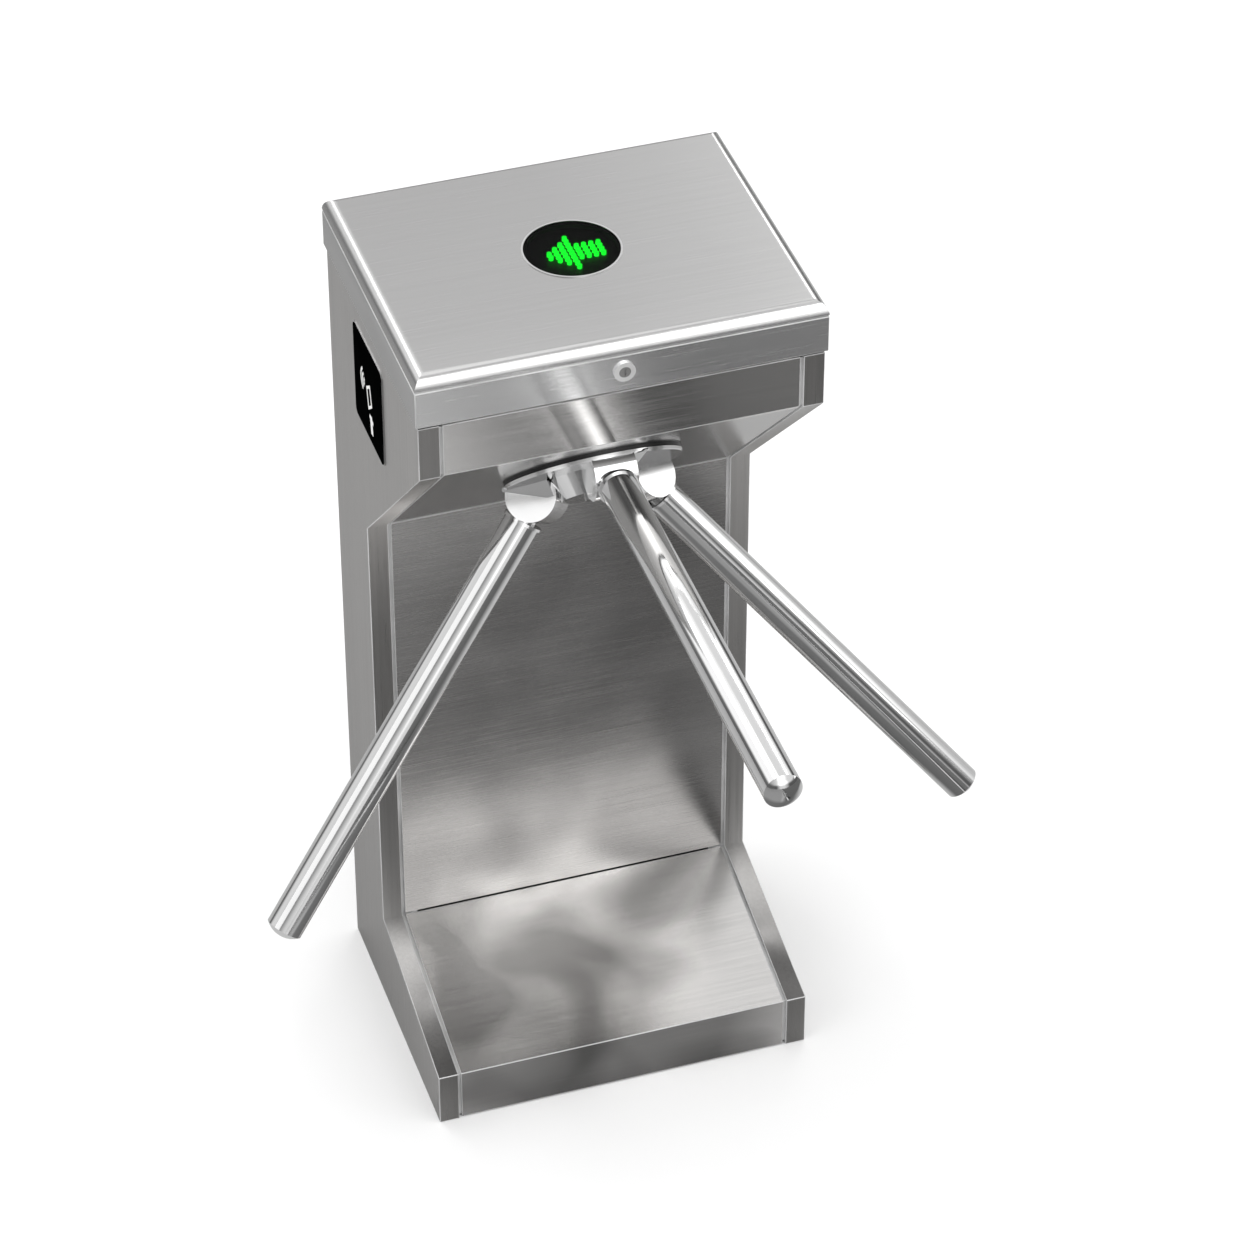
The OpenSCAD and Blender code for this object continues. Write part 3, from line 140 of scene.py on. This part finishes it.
class Tree:
    """Short calls for the nodes that the finishes and the world need."""

    def __init__(self, tree):
        self.nodes = tree.nodes
        self.links = tree.links

    def feed(self, socket, value):
        """Sets an input to a number or colour, or links it to an output."""
        if isinstance(value, (int, float, tuple)):
            socket.default_value = value
        else:
            self.links.new(value, socket)

    def maths(self, operation, first, second):
        node = self.nodes.new("ShaderNodeMath")
        node.operation = operation
        self.feed(node.inputs[0], first)
        self.feed(node.inputs[1], second)
        return node.outputs[0]

    def spread(self, value, low, high, new_low=0.0, new_high=1.0, curve="LINEAR"):
        """A value's place between two limits, stretched to two new ones."""
        node = self.nodes.new("ShaderNodeMapRange")
        node.interpolation_type = curve
        for name, number in (
            ("Value", value), ("From Min", low), ("From Max", high), ("To Min", new_low), ("To Max", new_high)
        ):
            self.feed(node.inputs[name], number)
        return node.outputs["Result"]

    def along(self, vector, letter):
        node = self.nodes.new("ShaderNodeSeparateXYZ")
        self.feed(node.inputs[0], vector)
        return node.outputs[letter]

    def ramp(self, value, stops):
        """A value's colour on a ramp, each stop a place and either a colour or a grey level."""
        node = self.nodes.new("ShaderNodeValToRGB")
        band = node.color_ramp
        while len(band.elements) < len(stops):
            band.elements.new(1.0)
        for element, (place, tone) in zip(band.elements, stops):
            element.position = place
            element.color = (*(tone if isinstance(tone, tuple) else grey(tone)), 1.0)
        self.feed(node.inputs["Fac"], value)
        return node.outputs["Color"]

    def mix(self, share, first, second, blend="MIX"):
        node = self.nodes.new("ShaderNodeMix")
        node.data_type = "RGBA"
        node.blend_type = blend
        for name, value in (("Factor", share), ("A", first), ("B", second)):
            self.feed(node.inputs[name], value)
        return node.outputs["Result"]


class Shader(Tree):
    """A material and the calls that set its surface."""

    def __init__(self, name):
        self.material = bpy.data.materials.new(name)
        self.material.use_nodes = True
        super().__init__(self.material.node_tree)
        self.surface = self.nodes["Principled BSDF"]
        coords = self.nodes.new("ShaderNodeTexCoord").outputs
        self.place, self.outward = coords["Object"], coords["Normal"]

    def set(self, **values):
        for name, value in values.items():
            self.surface.inputs[name.replace("_", " ")].default_value = value
        return self

    def noise(self, scale, stretch=EVEN, detail=4.0, roughness=0.55, distortion=0.0):
        stretched = self.nodes.new("ShaderNodeMapping")
        stretched.inputs["Scale"].default_value = stretch
        self.feed(stretched.inputs["Vector"], self.place)
        node = self.nodes.new("ShaderNodeTexNoise")
        for name, value in (
            ("Vector", stretched.outputs["Vector"]), ("Scale", scale), ("Detail", detail),
            ("Roughness", roughness), ("Distortion", distortion),
        ):
            self.feed(node.inputs[name], value)
        return node.outputs["Fac"]

    def shades(self, letter, low, high, stops):
        """Grey multipliers along one axis, from low to high in metres."""
        return self.ramp(self.spread(self.along(self.place, letter), low, high), stops)

    def facing(self, letter, stops):
        """Painted light and shade as grey multipliers by the way a face points, from minus to plus one along
        an axis.
        """
        return self.ramp(self.spread(self.along(self.outward, letter), -1.0, 1.0), stops)

    def toned(self, colour, shades=(), painted_face_light=()):
        """A colour times its painted light and shade along the axes and by the way its faces point."""
        painted_tones = [self.shades(*row) for row in shades] + [self.facing(*row) for row in painted_face_light]
        for tone in painted_tones:
            colour = self.mix(1.0, colour, tone, "MULTIPLY")
        return colour

    def colour(self, value):
        self.feed(self.surface.inputs["Base Color"], value)

    def roughness(self, value):
        self.feed(self.surface.inputs["Roughness"], value)

    def bump(self, height, strength, distance):
        node = self.nodes.new("ShaderNodeBump")
        for name, value in (("Height", height), ("Strength", strength), ("Distance", distance)):
            self.feed(node.inputs[name], value)
        self.feed(self.surface.inputs["Normal"], node.outputs["Normal"])


def brushed(
    name, level, grain, rough=0.3, warmth=0.012, contrast=0.1, shades=(), painted_face_light=(), painted_reflection_blotch=0.0, pull=0.6
):
    """Brushed stainless steel with long scratches along one direction and reflections pulled across it, its
    colour multiplied by painted light and shade and by painted reflection patches.
    """
    shader = Shader(name).set(Metallic=1.0, Anisotropic=pull)
    across = shader.nodes.new("ShaderNodeTangent")
    across.direction_type = "RADIAL"
    across.axis = "X" if grain == ALONG_X else "Z"
    shader.feed(shader.surface.inputs["Tangent"], across.outputs["Tangent"])
    fine = shader.noise(9.0, grain, detail=6.0, roughness=0.7)
    coarse = shader.noise(1.6, grain, detail=3.0, roughness=0.6)
    cloud = shader.noise(3.0, EVEN, detail=2.0)
    mixed = shader.maths("ADD", shader.maths("MULTIPLY", fine, 0.5), shader.maths("MULTIPLY", coarse, 0.4))
    mixed = shader.maths("ADD", mixed, shader.maths("MULTIPLY", cloud, 0.1))
    colour = shader.ramp(
        shader.spread(mixed, 0.36, 0.64),
        [(0.0, grey(level * (1 - contrast), warmth)), (1.0, grey(level * (1 + contrast), warmth))],
    )
    colour = shader.toned(colour, shades, painted_face_light)
    # Painted reflection: blurry light and dark patches multiplied into the colour, standing in for blurred
    # reflections
    if painted_reflection_blotch:
        reflection_patches = shader.noise(7.5, EVEN, detail=1.5, roughness=0.4, distortion=0.6)
        painted_tones = shader.ramp(reflection_patches, [(0.38, 0.48), (0.5, 0.76), (0.61, 1.0)])
        colour = shader.mix(painted_reflection_blotch, colour, painted_tones, "MULTIPLY")
    shader.colour(colour)
    shader.roughness(shader.spread(fine, 0.3, 0.7, rough - 0.07, rough + 0.07))
    shader.bump(fine, 0.035, 0.0003)
    return shader.material


def folded(name):
    """Painted highlight: a bright, partly matt line on rounded folds and seam seats, standing in for the
    light that a bent or cut edge of polished sheet catches.
    """
    shader = Shader(name).set(Metallic=0.35, Roughness=0.35)
    # The painted highlight's brightness varies along the edge line
    highlight_variation = shader.noise(14.0, EVEN, detail=3.0)
    shader.colour(shader.ramp(highlight_variation, [(0.3, 0.42), (0.7, 0.68)]))
    return shader.material


def polished(name, level, rough=0.08, warmth=0.0, metal=1.0, painted_face_light=()):
    """Polished stainless steel with faint wipe marks, and painted light and shade by the way its faces point.
    """
    shader = Shader(name).set(Metallic=metal)
    smudge = shader.noise(22.0, EVEN, detail=5.0, roughness=0.6)
    hair = shader.noise(60.0, WIPED, detail=4.0)
    colour = shader.ramp(smudge, [(0.3, grey(level * 0.95, warmth)), (0.7, grey(level, warmth))])
    shader.colour(shader.toned(colour, painted_face_light=painted_face_light))
    shader.roughness(shader.spread(smudge, 0.3, 0.75, rough * 0.7, rough * 1.5))
    shader.bump(hair, 0.04, 0.0002)
    return shader.material


def rolled_metal(name, level, rough, warmth=0.0, mottle=14.0):
    """Plain mill or zinc-plated metal of inner parts."""
    shader = Shader(name).set(Metallic=1.0)
    spots = shader.noise(mottle, EVEN, detail=6.0, roughness=0.65, distortion=0.4)
    fine = shader.noise(420.0, EVEN, detail=3.0)
    shader.colour(shader.ramp(spots, [(0.3, grey(level * 0.8, warmth)), (0.7, grey(level * 1.08, warmth))]))
    shader.roughness(shader.spread(spots, 0.3, 0.7, rough * 0.8, rough * 1.2))
    shader.bump(fine, 0.1, 0.0002)
    return shader.material


def moulded(name, colour, rough, grain=900.0, sheen=0.0):
    """Plastic, paint or rubber with a fine moulded grain."""
    shader = Shader(name).set(Coat_Weight=sheen)
    spots = shader.noise(30.0, EVEN, detail=4.0)
    fine = shader.noise(grain, EVEN, detail=2.0)
    darker = tuple(channel * 0.85 for channel in colour)
    shader.colour(shader.ramp(spots, [(0.3, darker), (0.7, colour)]))
    shader.roughness(shader.spread(fine, 0.3, 0.7, rough * 0.85, min(1.0, rough * 1.15)))
    shader.bump(fine, 0.15, 0.0002)
    return shader.material


def smoked_glass(name, alpha, gloss):
    """Nearly black glass that hides what lies behind it by the share of alpha."""
    shader = Shader(name).set(Roughness=0.08, IOR=1.3, Alpha=alpha, Specular_IOR_Level=gloss)
    haze = shader.noise(40.0, EVEN, detail=3.0)
    shader.colour(shader.ramp(haze, [(0.3, (0.0006, 0.0007, 0.0007)), (0.7, (0.0012, 0.0013, 0.0013))]))
    return shader.material


def lit_dots(name, colour, strength):
    """Coloured lamps that glow a little unevenly."""
    shader = Shader(name).set(Roughness=0.4, Emission_Strength=strength)
    patch = shader.noise(500.0, EVEN, detail=2.0)
    dim = tuple(channel * 0.85 for channel in colour)
    glow = shader.ramp(patch, [(0.3, dim), (0.7, colour)])
    shader.colour(glow)
    shader.feed(shader.surface.inputs["Emission Color"], glow)
    return shader.material


def circuit_board(name):
    """Green board with lighter tracks."""
    shader = Shader(name).set(Roughness=0.35)
    tracks = shader.noise(120.0, EVEN, detail=1.0)
    shader.colour(shader.ramp(tracks, [(0.45, (0.008, 0.09, 0.035)), (0.5, (0.03, 0.2, 0.08))]))
    return shader.material


# Painted light and shade on the brushed faces, standing in for how they are lit and what they mirror: along
# an axis, between two places in metres, as grey multipliers
LID_PAINTED_LIGHT = (
    ("X", -0.21, 0.21, ((0.0, 0.79), (0.5, 0.81), (0.8, 0.9), (1.0, 1.0))),
    ("Y", -0.165, 0.165, ((0.0, 1.0), (0.2, 0.94), (1.0, 0.88))),
)
SIDE_PAINTED_LIGHT = (("Z", 0.0, 0.92, ((0.0, 0.84), (0.4, 0.95), (1.0, 1.0))),)
NOSE_PAINTED_LIGHT = (
    ("X", -0.19, 0.19, ((0.0, 1.0), (0.3, 0.92), (0.45, 0.86), (0.56, 0.7), (0.75, 0.86), (1.0, 0.9))),
    ("Z", 0.66, 0.92, ((0.0, 0.46), (0.74, 0.5), (0.77, 1.0), (1.0, 1.0))),
)
COLUMN_PAINTED_LIGHT = (
    ("Z", 0.11, 0.65, ((0.0, 0.88), (0.15, 0.68), (0.5, 0.69), (0.8, 0.68), (1.0, 0.92))),
    ("X", -0.19, 0.19, ((0.0, 1.0), (0.45, 0.85), (0.7, 0.66), (1.0, 0.6))),
)
REAR_PAINTED_LIGHT = (
    ("X", -0.19, 0.19, ((0.0, 0.7), (0.25, 0.85), (0.45, 1.0), (0.65, 0.87), (1.0, 0.7))),
    ("Z", 0.0, 0.92, ((0.0, 0.5), (0.35, 0.75), (0.7, 0.95), (1.0, 1.0))),
)

# Painted light and shade by the way a face points, from minus to plus one along an axis
SIDE_PAINTED_FACE_LIGHT = (("Z", ((0.0, 1.0), (0.7, 1.0), (0.95, 0.42), (1.0, 0.42))),)
FOOT_PAINTED_FACE_LIGHT = (("Z", ((0.0, 1.0), (0.6, 1.0), (0.9, 0.86), (1.0, 0.86))),)
LID_PAINTED_FACE_LIGHT = (
    # Painted shade on the lid's top and sides, and a painted reflection that lifts its front skirt
    ("Z", ((0.0, 1.0), (0.6, 1.0), (0.95, 0.8), (1.0, 0.8))),
    ("X", ((0.0, 0.66), (0.15, 1.0), (0.85, 1.0), (1.0, 0.66))),
    ("Y", ((0.0, 1.62), (0.04, 1.0), (1.0, 1.0))),
)
HUB_PAINTED_FACE_LIGHT = (
    # Painted shade on the hub's upward faces and a painted highlight on its forward faces
    ("Z", ((0.0, 1.0), (0.83, 1.0), (0.88, 0.42), (1.0, 0.42))),
    ("Y", ((0.0, 1.4), (0.06, 1.0), (1.0, 1.0))),
)

# The brushed steel parts are one steel; their levels are set apart from part to part as painted light,
# lighter or darker to stand for how each is lit
MATERIALS = {
    "lid": brushed(
        "lid steel", 0.8, ALONG_X, rough=0.22, warmth=0.004, contrast=0.03,
        shades=LID_PAINTED_LIGHT, painted_face_light=LID_PAINTED_FACE_LIGHT,
    ),
    "side": brushed(
        "side steel", 0.44, ALONG_Z, rough=0.32, warmth=0.02, shades=SIDE_PAINTED_LIGHT, painted_face_light=SIDE_PAINTED_FACE_LIGHT
    ),
    "nose": brushed("nose steel", 0.93, ALONG_X, rough=0.15, warmth=0.015, contrast=0.05, shades=NOSE_PAINTED_LIGHT),
    "column": brushed(
        "column steel", 0.95, ALONG_X, rough=0.24, warmth=0.015, contrast=0.05,
        shades=COLUMN_PAINTED_LIGHT, painted_reflection_blotch=0.35,
    ),
    "foot": brushed(
        "foot steel", 0.92, ALONG_X, rough=0.2, warmth=0.015, contrast=0.05, painted_face_light=FOOT_PAINTED_FACE_LIGHT, painted_reflection_blotch=1.0
    ),
    "rear": brushed("rear steel", 0.6, ALONG_X, rough=0.32, warmth=0.01, shades=REAR_PAINTED_LIGHT),
    # Painted highlight for the rounded folds and the seam seats
    "fold": folded("folded edge"),
    "polished": polished("polished steel", 0.74, rough=0.08),
    "hub": polished("hub steel", 0.82, rough=0.12, painted_face_light=HUB_PAINTED_FACE_LIGHT),
    "trim": polished("trim steel", 0.5, rough=0.25),
    "ring": polished("ring steel", 0.6, rough=0.35),
    "key": polished("key steel", 0.34, rough=0.2, warmth=0.01, metal=0.6),
    "lock": polished("lock steel", 0.85, rough=0.2, metal=0.55),
    # Painted shadow: the hub collar is made nearly black to stand for the shadow gap under the hub disc
    "collar": rolled_metal("painted shadow steel", 0.05, 0.4),
    "zinc": rolled_metal("zinc steel", 0.55, 0.35),
    "sheet": rolled_metal("galvanised sheet", 0.6, 0.4, mottle=45.0),
    "fastener": rolled_metal("fastener steel", 0.5, 0.32, mottle=90.0),
    "hard": rolled_metal("hardened steel", 0.5, 0.16, mottle=60.0),
    "gear": rolled_metal("gear steel", 0.42, 0.28, warmth=0.03, mottle=60.0),
    "aluminium": rolled_metal("machined aluminium", 0.72, 0.3, mottle=30.0),
    "case": rolled_metal("supply case", 0.66, 0.38, mottle=70.0),
    "motor": moulded("motor paint", (0.03, 0.03, 0.032), 0.42, sheen=0.2),
    "coil": moulded("coil case", (0.05, 0.05, 0.055), 0.5),
    "rubber": moulded("seal rubber", (0.02, 0.02, 0.02), 0.8),
    "plastic": moulded("black plastic", (0.02, 0.02, 0.022), 0.5),
    "grey plastic": moulded("grey plastic", (0.4, 0.41, 0.41), 0.55),
    "lens": smoked_glass("smoked lens", 0.6, 0.08),
    "reader": smoked_glass("reader glass", 1.0, 0.0),
    "dots": lit_dots("green dots", (0.005, 1.0, 0.03), 6.5),
    "board": circuit_board("circuit board"),
    "print": moulded("white print", (0.85, 0.85, 0.84), 0.5),
}

FINISHES = {
    "lid": ("lid_shell",),
    "side": ("left_side_frame", "right_side_frame"),
    "nose": ("nose_panel",),
    "column": ("column_panel",),
    "foot": ("foot_cover",),
    "rear": ("rear_panel",),
    "polished": ("arm_tubes", "arm_end_caps"),
    "hub": ("hub_casting", "hub_cap", "arm_spigots"),
    "trim": ("reader_bezels",),
    "lock": ("lock_body",),
    "ring": ("display_bezel",),
    "key": ("lock_plug",),
    "zinc": (
        "base_plate", "mechanism_rails", "hinge_brackets", "hinge_arms", "lock_catch", "lock_cam",
        "sensor_bracket",
    ),
    "sheet": ("top_frame", "equipment_plate"),
    "fastener": (
        "panel_nuts", "mechanism_bolts", "hub_bolt", "arm_screws", "hinge_pins", "lock_nut",
        "deck_standoffs", "pawl_posts", "solenoid_plunger",
    ),
    "hard": (
        "hub_spindle", "bearing_outer_rings", "bearing_inner_rings", "bearing_balls", "lock_pawl",
        "pawl_spring",
    ),
    "gear": ("spindle_stack", "motor_pinion"),
    "aluminium": ("mechanism_plate", "deck_plate", "bearing_housing"),
    "case": ("power_supply",),
    "motor": ("drive_motor",),
    "coil": ("solenoid",),
    "rubber": ("lid_seal",),
    "plastic": ("display_cup", "display_board"),
    "collar": ("hub_collar",),
    "grey plastic": ("terminal_block", "reader_modules"),
    "lens": ("display_lens",),
    "reader": ("reader_windows",),
    "dots": ("display_leds",),
    "board": ("controller_board", "position_sensor"),
    "print": ("reader_icons",),
}


def dress_nodes():
    """Gives every CAD node its finish."""
    for finish, names in FINISHES.items():
        for name in names:
            slots = frame["nodes"][name].material_slots
            if not slots:
                frame["nodes"][name].data.materials.append(MATERIALS[finish])
            for slot in slots:
                slot.material = MATERIALS[finish]


def mark_folds(shape, shortest):
    """Gives the long convex folds of a mesh a bevel weight, and keeps its other folds sharp."""
    weight = shape.edges.layers.float.new("bevel_weight_edge")
    for edge in shape.edges:
        if len(edge.link_faces) != 2:
            continue
        angle = edge.calc_face_angle()
        if angle > FOLD_ANGLE and edge.is_convex and edge.calc_length() > shortest:
            edge[weight] = 1.0
        elif angle > SHARP_ANGLE:
            edge.smooth = False


def softened(
    node, width, finish, edge="fold", shortest=PANEL_FOLD_LENGTH, painted_highlight_within=0.0
):
    """A copy of a CAD node whose long folds are rounded and take the edge finish, by default the painted edge
    highlight, shown in its place.

    Faces nearer to the middle plane than the given reach take the painted edge highlight too, so the seam
    seats show bright.
    """
    source = frame["nodes"][node]
    body = next(name for name, nodes in frame["record"]["behaviour"]["bodies"].items() if node in nodes)
    mesh = source.data.copy()
    shape = bmesh.new()
    shape.from_mesh(mesh)
    bmesh.ops.remove_doubles(shape, verts=shape.verts, dist=WELD)
    bmesh.ops.dissolve_limit(shape, angle_limit=FLAT_ANGLE, verts=shape.verts, edges=shape.edges)
    mark_folds(shape, shortest)
    shape.to_mesh(mesh)
    shape.free()
    mesh.materials.clear()
    mesh.materials.append(MATERIALS[finish])
    mesh.materials.append(MATERIALS[edge])
    for face in mesh.polygons:
        face.use_smooth = True
        # Faces within the reach take the second finish, the painted edge highlight
        reach = max(abs(mesh.vertices[index].co.x) for index in face.vertices)
        face.material_index = int(reach < painted_highlight_within)
    piece = bpy.data.objects.new(node + "_shown", mesh)
    bpy.context.collection.objects.link(piece)
    piece.matrix_world = source.matrix_world.copy()
    rounding = piece.modifiers.new("fold", "BEVEL")
    rounding.width = width
    rounding.segments = FOLD_SEGMENTS
    rounding.limit_method = "WEIGHT"
    rounding.use_clamp_overlap = False
    # The rounded folds take the second finish, by default the painted edge highlight
    rounding.material = 1
    flatten = piece.modifiers.new("flat faces", "WEIGHTED_NORMAL")
    flatten.mode = "FACE_AREA"
    flatten.weight = 100
    flatten.keep_sharp = True
    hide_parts(node)
    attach(piece, body)


def aimed(name, data, place, aim):
    """An object at one place that looks towards another."""
    item = bpy.data.objects.new(name, data)
    item.location = place
    item.rotation_mode = "QUATERNION"
    item.rotation_quaternion = (Vector(aim) - Vector(place)).to_track_quat("-Z", "Y")
    bpy.context.collection.objects.link(item)
    return item


def camera():
    data = bpy.data.cameras.new("photo view")
    data.lens = CAMERA_LENS
    data.sensor_width = CAMERA_SENSOR
    data.clip_end = CAMERA_SIGHT
    bpy.context.scene.camera = aimed("photo view", data, CAMERA_PLACE, CAMERA_AIM)


def area_light(name, place, size, watts):
    """A soft box at a place, with its width and height in metres."""
    data = bpy.data.lights.new(name, "AREA")
    data.shape = "RECTANGLE"
    data.size, data.size_y = size
    data.energy = watts
    aimed(name, data, place, LAMP_AIM)


def studio():
    area_light("overhead", (-0.6, 0.6, 4.2), (3.0, 3.0), 26)
    area_light("left box", (-3.6, -1.4, 2.6), (2.5, 3.0), 20)
    area_light("right box", (3.4, -2.2, 2.4), (0.8, 2.4), 10)
    area_light("front strip", (1.0, -2.2, 4.2), (1.8, 0.8), 16)
    area_light("rear left strip", (-1.8, 3.6, 3.9), (1.0, 1.2), 12)
    area_light("rear right strip", (2.6, 3.6, 3.1), (1.0, 1.2), 12)


def world():
    """White to the camera; metal sees a studio with a few darker walls between its white ones."""
    item = bpy.data.worlds.new("studio")
    bpy.context.scene.world = item
    item.use_nodes = True
    tree = Tree(item.node_tree)
    rays = tree.nodes.new("ShaderNodeLightPath").outputs
    direction = tree.nodes.new("ShaderNodeTexCoord").outputs["Generated"]
    height = tree.along(direction, "Z")
    heading = tree.maths("ARCTAN2", tree.along(direction, "Y"), tree.along(direction, "X"))
    turn = tree.spread(heading, -math.pi, math.pi)

    def level(tone):
        return (*grey(tone), 1.0)

    boxes = tree.mix(1.0, tree.ramp(turn, SKY_IN_METAL), level(SKY_PEAK), "MULTIPLY")
    sky = tree.mix(tree.spread(height, *ZENITH_RISE, curve="SMOOTHSTEP"), boxes, level(ZENITH_IN_METAL))
    walls = tree.ramp(turn, WALLS_IN_METAL)
    mirrored = tree.mix(tree.spread(height, *SKY_RISE, curve="SMOOTHSTEP"), walls, sky)
    lit = tree.mix(rays["Is Glossy Ray"], level(MATT_LEVEL), mirrored)
    direct = tree.maths("MAXIMUM", rays["Is Camera Ray"], rays["Is Transmission Ray"])
    tree.feed(tree.nodes["Background"].inputs["Color"], tree.mix(direct, lit, level(PAPER_WHITE)))


def floor():
    """Pale floor that metal sees with darker sectors and strips."""
    mesh = bpy.data.meshes.new("floor")
    shape = bmesh.new()
    bmesh.ops.create_circle(shape, cap_ends=True, segments=FLOOR_SIDES, radius=FLOOR_RADIUS)
    shape.to_mesh(mesh)
    shape.free()
    item = bpy.data.objects.new("floor", mesh)
    item.location.z = -FLOOR_DROP
    bpy.context.collection.objects.link(item)
    shader = Shader("floor paint").set(Roughness=0.75, Specular_IOR_Level=0.2)
    patch = shader.noise(0.8, EVEN, detail=2.0)
    white = shader.ramp(patch, [(0.3, 0.94), (0.7, 0.96)])
    ahead = shader.along(shader.place, "Y")
    heading = shader.maths("ARCTAN2", ahead, shader.along(shader.place, "X"))
    sectors = shader.ramp(shader.spread(heading, -math.pi, math.pi), FLOOR_IN_METAL)
    strips = shader.shades("X", 0.0, FRONT_REACH, FRONT_IN_METAL)
    mirrored = shader.mix(shader.spread(ahead, *FRONT_FADE), sectors, strips)
    glossy = shader.nodes.new("ShaderNodeLightPath").outputs["Is Glossy Ray"]
    shader.colour(shader.mix(glossy, white, mirrored))
    mesh.materials.append(shader.material)


bpy.context.scene.view_settings.view_transform = "Standard"
camera()
studio()
world()
floor()
dress_nodes()
# Rounded folds of these parts take the painted edge highlight; the hub's take its own steel
softened("lid_shell", PANEL_FOLD, "lid")
# The side frames' seam seats take the painted edge highlight
band_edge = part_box("nose_panel")[1][0] + SEAM
for side in ("left", "right"):
    softened(
        side + "_side_frame", FRAME_FOLD, "side",
        shortest=FRAME_FOLD_LENGTH, painted_highlight_within=band_edge,
    )
softened("hub_casting", HUB_FOLD, "hub", edge="hub", shortest=HUB_FOLD_LENGTH)
for panel in ("nose", "column", "rear"):
    softened(panel + "_panel", PANEL_FOLD, panel)
softened("foot_cover", PANEL_FOLD, "foot")
